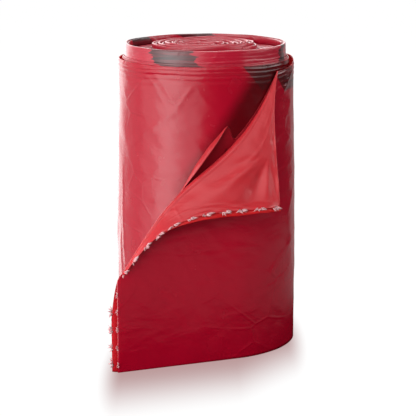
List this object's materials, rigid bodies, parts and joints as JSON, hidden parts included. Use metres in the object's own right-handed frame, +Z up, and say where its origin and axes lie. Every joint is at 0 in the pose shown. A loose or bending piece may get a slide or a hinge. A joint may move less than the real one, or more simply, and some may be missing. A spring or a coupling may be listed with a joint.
{
  "type": "roll of biohazard waste bags",
  "caption": "Coreless roll of folded plastic film bags, standing on its end, with the outer bag's loose end folded over at its top corner.",
  "frame": {"origin": "on the floor under the middle of the whole object's box; the roll's own axis is 2.05 mm towards +X and 17.95 mm towards +Y of it", "axes": "+Z up along the roll's axis, -Y towards the loose end and the viewer, +X to the viewer's right"},
  "size_m": [0.1334, 0.1636, 0.231],
  "materials": {
    "wound_film": "thin glossy red polyethylene film, wound in many turns",
    "outer_film": "thin glossy red polyethylene film, smooth with soft creases"
  },
  "bodies": {
    "root": {"bag_roll": "wound_film", "outer_bag": "outer_film"}
  },
  "joints": []
}
